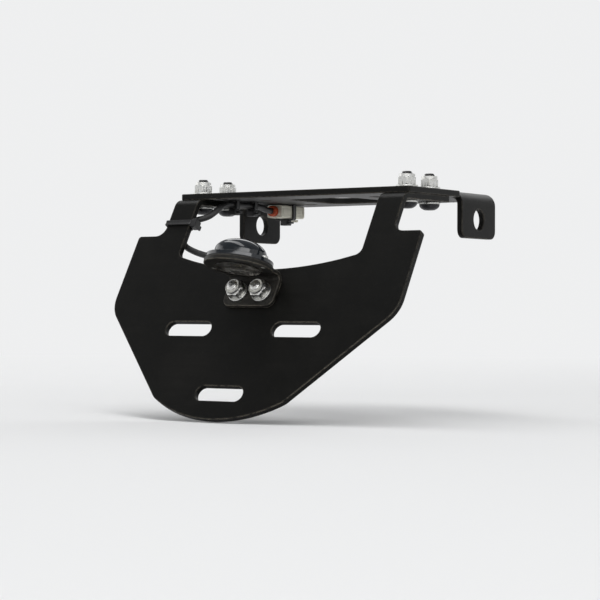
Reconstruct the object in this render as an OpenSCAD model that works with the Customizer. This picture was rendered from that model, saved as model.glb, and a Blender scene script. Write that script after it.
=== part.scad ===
// Tail tidy: a leaning number plate bracket on two arms, the deck that the arms bolt to,
// and a small number plate lamp with its lead.
// Millimetres. As it is mounted, +Z is up, +Y is forward and +X is to the right.
// The origin is the middle of the deck's four mounting holes, on the deck's top face.

/* [Number plate bracket] */
// Thickness of the bracket's sheet steel
plate_t = 3; // [2:0.5:4]
// Width of the plate
plate_w = 160; // [148:1:190]
// Height of the top edge above the line of the two upper slots
plate_top = 51; // [46:1:58]
// Depth of the rounded bottom below the line of the upper slots
plate_drop = 46; // [42:1:50]
// Radius of the rounded bottom edge
bottom_r = 70; // [66:1:80]
// Height of the plate's widest corner above the line of the upper slots
shoulder_z = 10.4; // [8:0.2:14]
// Half the width of the rounded bottom, where the straight sides begin
chin_x = 36; // [34:0.5:40]
// Rounding of the widest corners
shoulder_r = 16; // [6:1:24]
// Rounding where the side edge meets the bottom arc
chin_r = 8; // [2:1:12]
// Rounding of the two top corners
top_corner_r = 1.5; // [0.5:0.5:5]
// How far the plate leans forward at its top, from upright
lean = 30; // [24:1:36]
// Inside radius of the folds in the steel
fold_r = 3; // [2:0.5:4]

/* [Number plate slots] */
// Overall length of a slot
slot_l = 26; // [20:1:34]
// Width of a slot
slot_w = 7.5; // [5:0.5:9]
// Distance between the middles of the two upper slots
slot_pitch = 60; // [50:1:80]
// Distance of the single slot below the upper two
low_slot_drop = 33; // [24:1:35]

/* [Arms and notch] */
// Width of the plate's shoulder outside an arm
ear_w = 15; // [8:0.5:17]
// Width of an arm
arm_w = 13.5; // [12.5:0.5:14.5]
// Height along the plate at which the arms fold forward
arm_fold_z = 68; // [64:1:84]
// Rounding where an arm rises from the top edge
arm_root_r = 5; // [2:0.5:6]
// Height of the notch's floor, at the middle, above the upper slots
notch_z = 31.5; // [30:0.5:34]
// Radius of the notch's shallow curved floor
notch_r = 170; // [150:5:260]
// Rounding of the notch's lower corners
notch_corner_r = 4; // [2:0.5:6]
// Length of the foot that each arm has under the deck
foot_l = 38; // [36:1:42]
// Distance from a foot's fold to its first bolt
foot_bolt_start = 9; // [8:0.5:11]
// Distance between a foot's two bolts
foot_bolt_pitch = 20; // [16:1:21]
// Rounding of a foot's free corners
foot_corner_r = 3; // [1:0.5:5]

/* [Main bracket] */
// Thickness of the deck's sheet steel
deck_t = 3; // [2:0.5:4]
// Length of the deck in front of the mounting pattern's middle
deck_front = 40; // [38:1:60]
// Distance from the arms' folds to the mounting pattern's middle
deck_back = 44; // [42:1:56]
// Rounding of the deck's corners
deck_corner_r = 6; // [2:1:10]
// Sideways spacing of the mounting holes
mount_x = 64; // [56:1:68]
// Lengthwise spacing of the mounting holes
mount_y = 40; // [30:1:50]
// Diameter of a mounting hole
mount_d = 6.5; // [5.5:0.1:8.5]
// Width of the deck's middle opening
window_x = 38; // [24:1:40]
// Length of the deck's middle opening
window_y = 46; // [30:1:56]
// Rounding of the middle opening
window_r = 8; // [3:1:11]
// Depth of the turned down side flanges
flange_h = 22; // [20:1:26]
// Length of a side flange
flange_l = 32; // [26:1:32]
// Distance from the mounting pattern's middle to the flange's back end
flange_start = 4; // [2:0.5:5]
// Rounding of the flange's lower corners
flange_corner_r = 4; // [1:0.5:6]
// Diameter of the stem hole in each flange
stem_d = 10; // [8:0.5:10.5]
// Distance of the stem hole's middle below the deck's top
stem_drop = 13; // [12:0.5:14]

/* [Fixings] */
// Thread diameter of the bolts that join the brackets and hold the lamp
bolt_d = 5; // [4.5:0.1:5.4]
// Clearance of a bolt in its hole, on the diameter
bolt_clear = 0.4; // [0.2:0.1:0.8]
// Diameter of a button head
head_d = 9.5; // [9:0.1:10.5]
// Height of a button head
head_h = 2.75; // [2.2:0.05:3.2]
// Width across the flats of the head's socket
socket_af = 3; // [2.5:0.5:3.5]
// Depth of the head's socket
socket_depth = 1.6; // [1:0.1:2]
// Width across the flats of a nut
nut_af = 8; // [7.8:0.1:9]
// Height of a nut's hexagon
nut_h = 3.6; // [3:0.1:4.5]
// Height of the round collar above the hexagon
nut_collar_h = 1.4; // [1.2:0.1:2]
// Diameter of the round collar
nut_collar_d = 7.4; // [7.2:0.1:7.7]
// Height of the nylon ring inside the collar
ring_h = 1.1; // [0.6:0.1:1.2]
// Diameter of a washer
washer_d = 10; // [9.6:0.1:11]
// Thickness of a washer
washer_t = 1; // [0.8:0.1:1.5]
// Length of thread that shows past a nut
bolt_over = 1.2; // [0.6:0.1:2]

/* [Lamp bracket] */
// Thickness of the lamp bracket's steel
tongue_t = 2; // [1.5:0.25:2.5]
// Width of the tongue's round end outside the lamp's base
tongue_margin = 0.5; // [0.2:0.1:1.5]
// Width of the leg and of the tongue's neck
leg_w = 28; // [26:1:30]
// Clearance between the lamp's base and the plate
lamp_gap = 0.5; // [0.3:0.1:4]
// Height of the tongue's underside at the lamp's axis, above the upper slots
lamp_z = 22.7; // [22.3:0.1:24]
// How far the tongue droops from square to the plate
tongue_droop = 15; // [12:1:18]
// Height of the leg's lower end above the upper slots
leg_bottom = 11; // [8:0.5:12]
// Height of the leg's bolts above the upper slots
leg_bolt_z = 18; // [17.5:0.1:18.4]
// Distance between the leg's two bolts
leg_bolt_pitch = 13; // [12:0.5:16]
// Inside radius of the lamp bracket's fold
tongue_fold_r = 2; // [1.5:0.25:2.5]
// Rounding of the leg's lower corners
leg_corner_r = 4; // [1:0.5:6]

/* [Lamp] */
// Diameter of the lamp's dome
dome_d = 24; // [23.4:0.1:24.6]
// Height of the lamp above the tongue
lamp_h = 11.2; // [11:0.1:14]
// Height of the dome's straight side
dome_side = 2.5; // [1.5:0.1:3]
// Width of the base's lip around the dome, which holds the screws
base_lip = 3.5; // [3.4:0.1:3.8]
// How far the lens's face stays inside the dome's outside
lens_edge = 1.3; // [1.2:0.1:1.5]
// Thickness of the base flange
base_t = 1.8; // [1.5:0.1:2.2]
// Thickness of the dome's wall
dome_wall = 1.6; // [1.4:0.1:1.8]
// Thickness of the rubber gasket under the base
gasket_t = 0.6; // [0.4:0.1:0.9]
// Clearance between the lamp's inner pieces
lamp_clear = 0.1; // [0.05:0.05:0.15]
// Thickness of the lens's rim
lens_rim_t = 1.4; // [1.2:0.1:1.6]
// Width of the lens's rim outside its face
lens_rim_w = 0.9; // [0.6:0.1:1]
// How far the lens face stands below the tongue
lens_proud = 0.6; // [0.2:0.1:1.2]
// Depth of the reflector cup
reflector_h = 2.8; // [2.4:0.1:2.9]
// Wall of the reflector cup at the lens
reflector_wall = 0.6; // [0.5:0.1:0.8]
// Diameter of the reflector's opening at the board
reflector_top_d = 12; // [11:0.5:14]
// Thickness of the circuit board
board_t = 1; // [0.8:0.1:1.1]
// Width of the square light chips
chip_w = 2.6; // [2:0.1:2.8]
// Height of the light chips
chip_h = 0.8; // [0.5:0.1:1.2]
// Radius of the circle that the light chips stand on
chip_circle_r = 3.3; // [2.8:0.1:3.5]
// Diameter of the base's screws
lamp_screw_d = 2; // [1.6:0.1:2.1]
// Head diameter of the base's screws
lamp_screw_head_d = 3.3; // [3:0.1:3.3]
// Head height of the base's screws
lamp_screw_head_h = 1.3; // [1.1:0.1:1.5]

/* [Lead and its fittings] */
// Diameter of the lamp's lead
lead_d = 3; // [2.4:0.1:3]
// Clearance between the lead and what it lies on or in
lead_clear = 0.3; // [0.2:0.05:0.4]
// Diameter of the rubber gland inside the lamp's spout
gland_d = 5; // [4.4:0.1:5.2]
// Wall of the spout around the gland
spout_wall = 0.9; // [0.6:0.1:1]
// How far the spout stands out from the dome
spout_l = 1.6; // [1.2:0.1:2]
// Height of the spout's axis above the tongue
spout_z = 6.8; // [6.8:0.1:7]
// Length of the gland outside the spout
gland_l = 3.4; // [3:0.1:3.8]
// Thickness of the gland's collar
gland_collar_t = 1.2; // [0.8:0.1:1.6]
// Width of the lead's connector
plug_w = 9; // [8:0.5:10]
// Height of the lead's connector
plug_h = 6.4; // [6:0.1:7]
// Length of the lead's connector
plug_l = 20; // [17:1:24]
// Distance from the mounting pattern's middle to the connector's back end
plug_start = 8; // [7.5:0.5:9]
// Wall of the connector around its mouth
plug_wall = 1; // [0.8:0.1:1.2]
// Depth of the connector's mouth
plug_mouth = 9; // [7:0.5:10]
// Rounding of the connector's long edges
plug_edge_r = 1; // [0.5:0.1:1.5]
// Diameter of the connector's pins
pin_d = 1.6; // [1.2:0.1:1.8]
// Distance between the connector's pins
pin_pitch = 3.6; // [3.2:0.1:4]
// Length of the rubber seal behind the connector
seal_l = 3; // [2:0.1:4]
// Diameter of the rubber seal
seal_d = 5.4; // [5:0.1:5.8]
// Width of a cable tie's band
tie_w = 2.5; // [2:0.1:3]
// Thickness of a cable tie's band
tie_t = 1; // [0.8:0.1:1.2]
// Slack of a tie around what it holds
tie_clear = 0.15; // [0.1:0.05:0.2]
// Side of a tie's square lock
lock_w = 4.2; // [3.8:0.1:4.6]
// Height of a tie's lock
lock_h = 3; // [2.4:0.1:3.4]
// How far the lead runs into its connector
lead_in = 4; // [3:0.5:6]
// How far the pins' ends stand back in the connector's mouth
pin_recess = 1.5; // [1:0.1:2.5]
// Height along the arm of the tie that holds the lead
arm_tie_z = 58; // [57.5:0.5:59.5]

/* [Hidden] */
$fn = 64;

steel_black = [0.07, 0.07, 0.065];
plastic_black = [0.03, 0.03, 0.035];
rubber_black = [0.09, 0.09, 0.09];
zinc = [0.78, 0.78, 0.76];
nylon_white = [0.85, 0.84, 0.78];

// How far a cutting shape runs past the face that it cuts
past = 1;
// How far a flat runs into the fold that it joins
seam = 0.02;

// The steel's frame: the arms' fold ends where the deck begins, with the foot under the deck
sheet_outer_r = fold_r + plate_t;
arm_outer = plate_w / 2 - ear_w;
arm_inner = arm_outer - arm_w;
arm_mid = arm_outer - arm_w / 2;
fold_y = -deck_back;
foot_under = -deck_t - plate_t;
fold_z = -deck_t - sheet_outer_r;
plate_y = fold_y - sheet_outer_r * cos(lean) - arm_fold_z * sin(lean);
plate_z = fold_z + sheet_outer_r * sin(lean) - arm_fold_z * cos(lean);
hole_d = bolt_d + bolt_clear;
foot_bolts = [foot_bolt_start, foot_bolt_start + foot_bolt_pitch];
joint_places = [for (x = [-arm_mid, arm_mid], d = foot_bolts) [x, fold_y + d]];

// The plate's own frame: x across, y into the plate from its rear face, z up the plate
module on_plate() {
    translate([0, plate_y, plate_z]) rotate([-lean, 0, 0]) children();
}

// The lamp's own frame: z along the lamp's axis from the tongue's underside, y towards the plate
module on_lamp() {
    on_plate() translate([0, -lamp_reach, lamp_z]) rotate([tongue_droop, 0, 0]) children();
}

// Outlines with rounded corners and arcs, as lists of points
function unit(v) = v / norm(v);
function turn(from, to) = let (d = to - from) d > 180 ? d - 360 : d < -180 ? d + 360 : d;
function arc(centre, r, from, to, steps) =
    [for (i = [0:steps]) let (a = from + (to - from) * i / steps) centre + r * [cos(a), sin(a)]];
function corner(before, at, after, r, steps = 8) =
    let (u = unit(before - at), v = unit(after - at), half = acos(u * v) / 2,
        centre = at + unit(u + v) * r / sin(half),
        first = at + u * r / tan(half) - centre, last = at + v * r / tan(half) - centre,
        from = atan2(first[1], first[0]), sweep = turn(from, atan2(last[1], last[0])))
    arc(centre, r, from, from + sweep, steps);
function rounded(points, radii) =
    let (n = len(points))
    [for (i = [0:n - 1]) each radii[i] == 0 ? [points[i]]
        : corner(points[(i + n - 1) % n], points[i], points[(i + 1) % n], radii[i])];
function rectangle(x0, y0, x1, y1) = [[x0, y0], [x1, y0], [x1, y1], [x0, y1]];
function mirrored(points) = [for (i = [len(points) - 2:-1:1]) [-points[i][0], points[i][1]]];

// A slot's shape, with round ends
module stadium(l, w) {
    square([l - w, w], center = true);
    for (s = [-1, 1]) translate([s * (l - w) / 2, 0]) circle(d = w);
}

// A fold of sheet metal, turning about z from the x axis, w high
module sheet_fold(inner, t, w, angle) {
    rotate_extrude(angle = angle) translate([inner, 0]) square([t, w]);
}

// Number plate bracket. The right half of its outline runs from the bottom up to the arm,
// down into the notch and along its floor to the middle.
bottom_centre = [0, bottom_r - plate_drop];
shoulder = [plate_w / 2, shoulder_z];
top_right = [plate_w / 2, plate_top];
arm_root = [arm_outer, plate_top];
chin_angle = asin(chin_x / bottom_r) - 90;
chin = bottom_centre + bottom_r * [cos(chin_angle), sin(chin_angle)];
arc_trim = 2;
arc_end = chin_angle - arc_trim;
notch_centre = [0, notch_z + notch_r];
notch_half = asin(arm_inner / notch_r);
floor_share = 0.8;
function on_floor(share) = notch_centre + notch_r * [sin(notch_half * share), -cos(notch_half * share)];
half_outline = concat(
    arc(bottom_centre, bottom_r, -90, arc_end, 18),
    corner(bottom_centre + bottom_r * [cos(arc_end), sin(arc_end)], chin, shoulder, chin_r, 3),
    corner(chin, shoulder, top_right, shoulder_r, 12),
    corner(shoulder, top_right, arm_root, top_corner_r),
    corner(top_right, arm_root, [arm_outer, arm_fold_z], arm_root_r),
    [[arm_outer, arm_fold_z + seam], [arm_inner, arm_fold_z + seam]],
    corner([arm_inner, arm_fold_z], on_floor(1), on_floor(floor_share), notch_corner_r),
    arc(notch_centre, notch_r, notch_half * floor_share - 90, -90, 10));

module plate_sheet() {
    translate([0, plate_t, 0]) rotate([90, 0, 0]) linear_extrude(plate_t) difference() {
        polygon(concat(half_outline, mirrored(half_outline)));
        for (s = [-1, 1]) translate([s * slot_pitch / 2, 0]) stadium(slot_l, slot_w);
        translate([0, -low_slot_drop]) stadium(slot_l, slot_w);
        for (s = [-1, 1]) translate([s * leg_bolt_pitch / 2, leg_bolt_z]) circle(d = hole_d);
    }
}

module foot() {
    translate([arm_inner, fold_y, foot_under]) linear_extrude(plate_t) difference() {
        polygon(rounded(rectangle(0, -seam, arm_w, foot_l), [0, 0, foot_corner_r, foot_corner_r]));
        for (d = foot_bolts) translate([arm_w / 2, d]) circle(d = hole_d);
    }
}

module arm_fold() {
    on_plate() translate([arm_outer, sheet_outer_r, arm_fold_z]) rotate([90, 0, -90])
        sheet_fold(fold_r, plate_t, arm_w, 90 - lean);
}

module number_plate_bracket() color(steel_black) {
    on_plate() plate_sheet();
    for (s = [0, 1]) mirror([s, 0, 0]) {
        arm_fold();
        foot();
    }
}

// Main bracket: a flat deck with two side flanges turned down, and slots for the cable ties
deck_outer_r = fold_r + deck_t;
deck_flat = arm_outer - deck_outer_r;
relief = 2;
relief_r = 1;
flange_end = flange_start + flange_l;
lead_inset = 5.5;
lead_x = -(arm_inner - lead_inset);
lead_z = -deck_t - lead_clear - lead_d / 2;
tie_ys = [-26, -11, plug_start + plug_l / 2];
tie_halves = [lead_d / 2, lead_d / 2, plug_w / 2];
tie_drops = [lead_d, lead_d, plug_h];
tie_slot_play = 0.4;

module deck_outline() {
    back = flange_start - relief;
    side = deck_flat + seam;
    polygon(rounded([[-arm_outer, fold_y], [arm_outer, fold_y], [arm_outer, back], [side, back],
        [side, deck_front], [-side, deck_front], [-side, back], [-arm_outer, back]],
        [relief_r, relief_r, relief_r, relief_r, deck_corner_r, deck_corner_r, relief_r, relief_r]));
}

module tie_slots() {
    for (i = [0:len(tie_ys) - 1], s = [-1, 1])
        translate([lead_x + s * (tie_halves[i] + tie_clear + tie_t / 2), tie_ys[i]])
            square([tie_t + 2 * tie_slot_play, tie_w + 2 * tie_slot_play], center = true);
}

module flange() {
    translate([deck_flat, flange_end, -deck_outer_r]) rotate([90, 0, 0])
        sheet_fold(fold_r, deck_t, flange_l, 90);
    translate([arm_outer - deck_t, 0, 0]) rotate([90, 0, 90]) linear_extrude(deck_t) difference() {
        polygon(rounded(rectangle(flange_start, -flange_h, flange_end, seam - deck_outer_r),
            [flange_corner_r, flange_corner_r, 0, 0]));
        translate([flange_start + flange_l / 2, -stem_drop]) circle(d = stem_d);
    }
}

module main_bracket() color(steel_black) {
    translate([0, 0, -deck_t]) linear_extrude(deck_t) difference() {
        deck_outline();
        for (x = [-1, 1], y = [-1, 1]) translate([x * mount_x / 2, y * mount_y / 2]) circle(d = mount_d);
        for (p = joint_places) translate(p) circle(d = hole_d);
        polygon(rounded(rectangle(-window_x / 2, -window_y / 2, window_x / 2, window_y / 2),
            [window_r, window_r, window_r, window_r]));
        tie_slots();
    }
    for (s = [0, 1]) mirror([s, 0, 0]) flange();
}

// Fixings, drawn along z: the clamped faces are z = 0 and z = grip
head_rim = 0.3;
head_flat_angle = 60;
module button_bolt(grip) {
    length = grip + 2 * washer_t + nut_h + nut_collar_h + bolt_over;
    crown = head_h - head_rim;
    translate([0, 0, -washer_t]) difference() {
        union() {
            cylinder(d = bolt_d, h = length);
            translate([0, 0, -head_h]) rotate_extrude() polygon(concat([[0, head_h], [0, 0]],
                [for (a = [head_flat_angle:-10:0])
                    [head_d / 2 * cos(a), crown * (1 - sin(a) / sin(head_flat_angle))]],
                [[head_d / 2, head_h]]));
        }
        translate([0, 0, -head_h - past])
            cylinder(d = socket_af / cos(30), h = socket_depth + past, $fn = 6);
    }
}

module washer() {
    difference() {
        cylinder(d = washer_d, h = washer_t);
        translate([0, 0, -past]) cylinder(d = hole_d, h = washer_t + 2 * past);
    }
}

thread_clear = 0.1;
nut_chamfer = 0.6;
collar_wall = 0.4;
ring_z = nut_h + nut_collar_h - ring_h - thread_clear;
ring_d = nut_collar_d - 2 * collar_wall;
module nut_hexagon() {
    wide = nut_af + 2 * nut_chamfer / tan(30);
    intersection() {
        cylinder(d = nut_af / cos(30), h = nut_h, $fn = 6);
        union() {
            cylinder(d1 = nut_af, d2 = wide, h = nut_chamfer);
            translate([0, 0, nut_chamfer]) cylinder(d = wide, h = nut_h - 2 * nut_chamfer);
            translate([0, 0, nut_h - nut_chamfer]) cylinder(d1 = wide, d2 = nut_af, h = nut_chamfer);
        }
    }
}

module lock_nut() {
    difference() {
        union() {
            nut_hexagon();
            cylinder(d = nut_collar_d, h = nut_h + nut_collar_h);
        }
        translate([0, 0, -past]) cylinder(d = bolt_d + 2 * thread_clear, h = nut_h + nut_collar_h + 2 * past);
        translate([0, 0, ring_z]) cylinder(d = ring_d, h = ring_h + past);
    }
}

module lock_nut_ring() {
    translate([0, 0, ring_z]) difference() {
        cylinder(d = ring_d, h = ring_h);
        translate([0, 0, -past]) cylinder(d = bolt_d + thread_clear, h = ring_h + 2 * past);
    }
}

module at_joints(z) {
    for (p = joint_places) translate([p[0], p[1], z]) children();
}
module joint_bolts() color(plastic_black) at_joints(foot_under) button_bolt(plate_t + deck_t);
module joint_head_washers() color(zinc) at_joints(foot_under - washer_t) washer();
module joint_nut_washers() color(zinc) at_joints(0) washer();
module joint_nuts() color(zinc) at_joints(washer_t) lock_nut();
module joint_nut_rings() color(nylon_white) at_joints(washer_t) lock_nut_ring();

// Lamp bracket: a leg on the plate's rear face, folded over into a tongue with a round end.
// The fold's axis stands off the leg and off the tongue's underside by the inside radius.
dome_r = dome_d / 2;
base_r = dome_r + base_lip;
lens_hole_d = 2 * (dome_r - lens_edge);
lamp_screw_pitch = 2 * dome_r + base_lip;
tongue_r = base_r + tongue_margin;
lamp_reach = base_r * cos(tongue_droop) + lamp_gap;
axis_out = tongue_t + tongue_fold_r;
neck_l = (lamp_reach - tongue_t - tongue_fold_r * (1 + sin(tongue_droop))) / cos(tongue_droop);
axis_z = lamp_z + neck_l * sin(tongue_droop) - tongue_fold_r * cos(tongue_droop);
lamp_grip = plate_t + tongue_t;
// How far the fold's profile runs into the leg and the neck, clear of the lens's hole, and how far its
// core stays inside the leg
fold_lap = 0.5;
fold_inset = 0.3;

module leg() {
    rotate([90, 0, 0]) linear_extrude(tongue_t) difference() {
        polygon(rounded(rectangle(-leg_w / 2, leg_bottom, leg_w / 2, axis_z + fold_inset),
            [leg_corner_r, leg_corner_r, 0, 0]));
        for (s = [-1, 1]) translate([s * leg_bolt_pitch / 2, leg_bolt_z]) circle(d = hole_d);
    }
}

module tongue() {
    linear_extrude(tongue_t) difference() {
        union() {
            intersection() {
                circle(r = tongue_r);
                translate([-tongue_r, neck_l - fold_lap / 2 - 2 * tongue_r]) square(2 * tongue_r);
            }
            translate([-leg_w / 2, 0]) square([leg_w, neck_l - fold_lap / 2]);
        }
        circle(d = lens_hole_d);
        for (s = [-1, 1]) translate([s * lamp_screw_pitch / 2, 0]) circle(d = lamp_screw_d + 2 * thread_clear);
    }
}

// The fold's profile runs into the tongue's neck at full thickness, and into the leg as a thinner core
fold_axis = [neck_l, -tongue_fold_r];
core_start = [cos(tongue_droop), -sin(tongue_droop)];
core_run = fold_lap * [-sin(tongue_droop), -cos(tongue_droop)];
module tongue_bend() {
    inner = tongue_fold_r;
    outer = tongue_fold_r + tongue_t;
    core = [inner + fold_inset, outer - fold_inset];
    translate([-leg_w / 2, 0, 0]) rotate([90, 0, 90]) linear_extrude(leg_w) polygon(concat(
        [[neck_l - fold_lap, 0]], arc(fold_axis, inner, 90, -tongue_droop, 12),
        [fold_axis + core[0] * core_start, fold_axis + core[0] * core_start + core_run,
        fold_axis + core[1] * core_start + core_run, fold_axis + core[1] * core_start],
        arc(fold_axis, outer, -tongue_droop, 90, 12), [[neck_l - fold_lap, tongue_t]]));
}

module lamp_bracket() color(steel_black) {
    on_plate() leg();
    on_lamp() tongue_bend();
    on_lamp() tongue();
}

// The bolts that hold the lamp bracket have their heads behind the plate
module at_leg_bolts(z) {
    on_plate() for (s = [-1, 1]) translate([s * leg_bolt_pitch / 2, plate_t, leg_bolt_z])
        rotate([90, 0, 0]) translate([0, 0, z]) children();
}
module lamp_bolts() color(zinc) at_leg_bolts(0) button_bolt(lamp_grip);
module lamp_head_washers() color(zinc) at_leg_bolts(-washer_t) washer();
module lamp_nut_washers() color(zinc) at_leg_bolts(lamp_grip) washer();
module lamp_nuts() color(zinc) at_leg_bolts(lamp_grip + washer_t) lock_nut();
module lamp_nut_rings() color(nylon_white) at_leg_bolts(lamp_grip + washer_t) lock_nut_ring();

// Lamp: lens, reflector cup and board are stacked in the dome, above the tongue
base_z = tongue_t + gasket_t;
cavity_r = dome_r - dome_wall;
lens_rim_r = lens_hole_d / 2 + lens_rim_w;
lens_top = tongue_t + lens_rim_t;
board_z = lens_top + reflector_h;
board_top = board_z + board_t;
dome_z = base_z + base_t + dome_side;
dome_top = tongue_t + lamp_h;
seat_step = 0.5;
spout_r = gland_d / 2 + spout_wall;
spout_reach = dome_r + spout_l;

// A quarter of an ellipse, from the side of the dome to its top
function dome_curve(r, low, high, steps = 12) =
    [for (i = [0:steps]) [r * cos(90 * i / steps), low + (high - low) * sin(90 * i / steps)]];

module along_spout(y) {
    translate([0, y, tongue_t + spout_z]) rotate([-90, 0, 0]) children();
}

module lamp_housing() color(plastic_black) on_lamp() difference() {
    union() {
        rotate_extrude() polygon(concat([[0, base_z], [base_r, base_z], [base_r, base_z + base_t],
            [dome_r, base_z + base_t]], dome_curve(dome_r, dome_z, dome_top)));
        along_spout(dome_r / 2) cylinder(r = spout_r, h = spout_reach - dome_r / 2);
    }
    rotate_extrude() polygon(concat([[0, base_z - past], [lens_rim_r + lamp_clear, base_z - past],
        [lens_rim_r + lamp_clear, lens_top + lamp_clear], [cavity_r, lens_top + lamp_clear],
        [cavity_r, board_top + lamp_clear]],
        dome_curve(cavity_r - seat_step, board_top + lamp_clear, dome_top - dome_wall)));
    along_spout(dome_r / 2) cylinder(d = gland_d, h = spout_reach);
    for (s = [-1, 1]) translate([s * lamp_screw_pitch / 2, 0, base_z - past])
        cylinder(d = lamp_screw_d + 2 * thread_clear, h = base_t + 2 * past);
}

module lamp_gasket() color(rubber_black) on_lamp() translate([0, 0, tongue_t])
    linear_extrude(gasket_t) difference() {
        circle(r = base_r);
        circle(r = lens_rim_r + 2 * lamp_clear);
        for (s = [-1, 1]) translate([s * lamp_screw_pitch / 2, 0]) circle(d = lamp_screw_d + 2 * thread_clear);
    }

module lamp_lens() color([0.75, 0.78, 0.78, 0.6]) on_lamp() {
    translate([0, 0, -lens_proud]) cylinder(r = lens_hole_d / 2 - lamp_clear, h = lens_proud + lens_top);
    translate([0, 0, tongue_t]) cylinder(r = lens_rim_r, h = lens_rim_t);
}

module lamp_reflector() color("white") on_lamp() rotate_extrude()
    polygon([[cavity_r - lamp_clear, lens_top], [cavity_r - lamp_clear, board_z],
        [reflector_top_d / 2, board_z], [cavity_r - lamp_clear - reflector_wall, lens_top]]);

module led_board() color("darkgreen") on_lamp() translate([0, 0, board_z])
    cylinder(r = cavity_r - lamp_clear, h = board_t);

module led_chips() color("khaki") on_lamp() for (a = [0:120:240]) rotate([0, 0, a])
    translate([chip_circle_r - chip_w / 2, -chip_w / 2, board_z - chip_h]) cube([chip_w, chip_w, chip_h]);

cross_w = 0.5;
cross_l = 2;
cross_depth = 0.8;
module lamp_screws() color(zinc) on_lamp() for (s = [-1, 1]) translate([s * lamp_screw_pitch / 2, 0, 0])
    difference() {
        union() {
            cylinder(d = lamp_screw_d, h = base_z + base_t);
            translate([0, 0, base_z + base_t]) rotate_extrude()
                polygon(concat([[0, 0], [lamp_screw_head_d / 2, 0]],
                    dome_curve(lamp_screw_head_d / 2, lamp_screw_head_h / 2, lamp_screw_head_h, 6)));
        }
        translate([0, 0, base_z + base_t + lamp_screw_head_h])
            for (a = [0, 90]) rotate([0, 0, a]) cube([cross_w, cross_l, 2 * cross_depth], center = true);
    }

// Rubber gland in the spout, with a collar and a tapered nose around the lead
module lead_gland() color(rubber_black) on_lamp() along_spout(dome_r - dome_wall) difference() {
    inside = spout_reach - dome_r + dome_wall;
    union() {
        cylinder(d = gland_d - lamp_clear, h = inside);
        translate([0, 0, inside]) cylinder(r = spout_r, h = gland_collar_t);
        translate([0, 0, inside + gland_collar_t])
            cylinder(d1 = gland_d, d2 = lead_d + 2 * spout_wall, h = gland_l - gland_collar_t);
    }
    translate([0, 0, -past]) cylinder(d = lead_d + 2 * thread_clear, h = inside + gland_l + 2 * past);
}

// The lead's connector lies under the deck, with its mouth facing forward
plug_z = -deck_t - lead_clear - plug_h / 2;
seal_start = plug_start - seal_l;
module along_plug(y) {
    translate([lead_x, y, plug_z]) rotate([-90, 0, 0]) children();
}

// The lamp's lead: out of the gland, over the notch's floor, up the back of the left arm
// and along the underside of the deck to its connector
function plate_point(x, y, z) =
    [x, plate_y + y * cos(lean) + z * sin(lean), plate_z - y * sin(lean) + z * cos(lean)];
function spout_point(y) = plate_point(0,
    y * cos(tongue_droop) - (tongue_t + spout_z) * sin(tongue_droop) - lamp_reach,
    y * sin(tongue_droop) + (tongue_t + spout_z) * cos(tongue_droop) + lamp_z);
function arm_point(z) = plate_point(-arm_mid, plate_t + lead_clear + lead_d / 2, z);
function deck_point(y, share) = [lead_x, y, lead_z + (plug_z - lead_z) * share];
nose_y = spout_reach + gland_l;
lead_inside = 2;
below_tie = 4;
above_tie = 3.6;
// Share of the way across to the arm's middle, distance ahead of the plate, and height above the notch's floor
lead_behind = [[0.026, -1, 5.1], [0.103, 2.6, 6.3], [0.223, 4, 7.3], [0.378, 4, 8.5], [0.532, 3.6, 9.9],
    [0.687, 3, 11.6], [0.824, 2.4, 13.8], [0.934, 2, 17]];
// Across from the lead's line under the deck, distance ahead of the plate, and height above the arm's fold
lead_turn = [[-8.4, 3.4, -4.4], [-3.4, 6, -0.5]];
// Distances ahead of the deck's back edge at which the lead nears and joins its line under the deck
deck_join = [8, 13];
join_drop = 1.2;
// Distances behind the connector's seal at which the lead begins to drop to it, and its share of the drop
plug_join = [[13, 0], [8, 0.3], [4, 0.85], [0, 1]];
lead_route = concat([spout_point(dome_r - dome_wall - lead_inside), spout_point(dome_r), spout_point(nose_y)],
    [for (p = lead_behind) plate_point(-p[0] * arm_mid, plate_t + p[1], notch_z + p[2])],
    [arm_point(arm_tie_z - below_tie), arm_point(arm_tie_z), arm_point(arm_tie_z + above_tie)],
    [for (p = lead_turn) plate_point(lead_x + p[0], plate_t + p[1], arm_fold_z + p[2])],
    [[lead_x, fold_y + deck_join[0], lead_z - join_drop], [lead_x, fold_y + deck_join[1], lead_z]],
    [[lead_x, tie_ys[0], lead_z], [lead_x, tie_ys[1], lead_z]],
    [for (p = plug_join) deck_point(seal_start - p[0], p[1])], [deck_point(plug_start + lead_in, 1)]);
lead_sides = 8;
lead_steps = 2;
lead_aside = [0.5, -0.5, 0.7];

function spline(p, i, t) =
    let (n = len(p) - 1, a = p[max(i - 1, 0)], b = p[i], c = p[min(i + 1, n)], d = p[min(i + 2, n)])
    0.5 * (2 * b + (c - a) * t + (2 * a - 5 * b + 4 * c - d) * t * t + (3 * b - a - 3 * c + d) * t * t * t);
function path_points(p, steps) =
    concat([for (i = [0:len(p) - 2], s = [0:steps - 1]) spline(p, i, s / steps)], [p[len(p) - 1]]);
function ring(path, i, r, sides) =
    let (n = len(path) - 1, along = unit(path[min(i + 1, n)] - path[max(i - 1, 0)]),
        u = unit(cross(along, lead_aside)), v = cross(along, u))
    [for (k = [0:sides - 1]) path[i] + r * (u * cos(360 * k / sides) + v * sin(360 * k / sides))];

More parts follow.
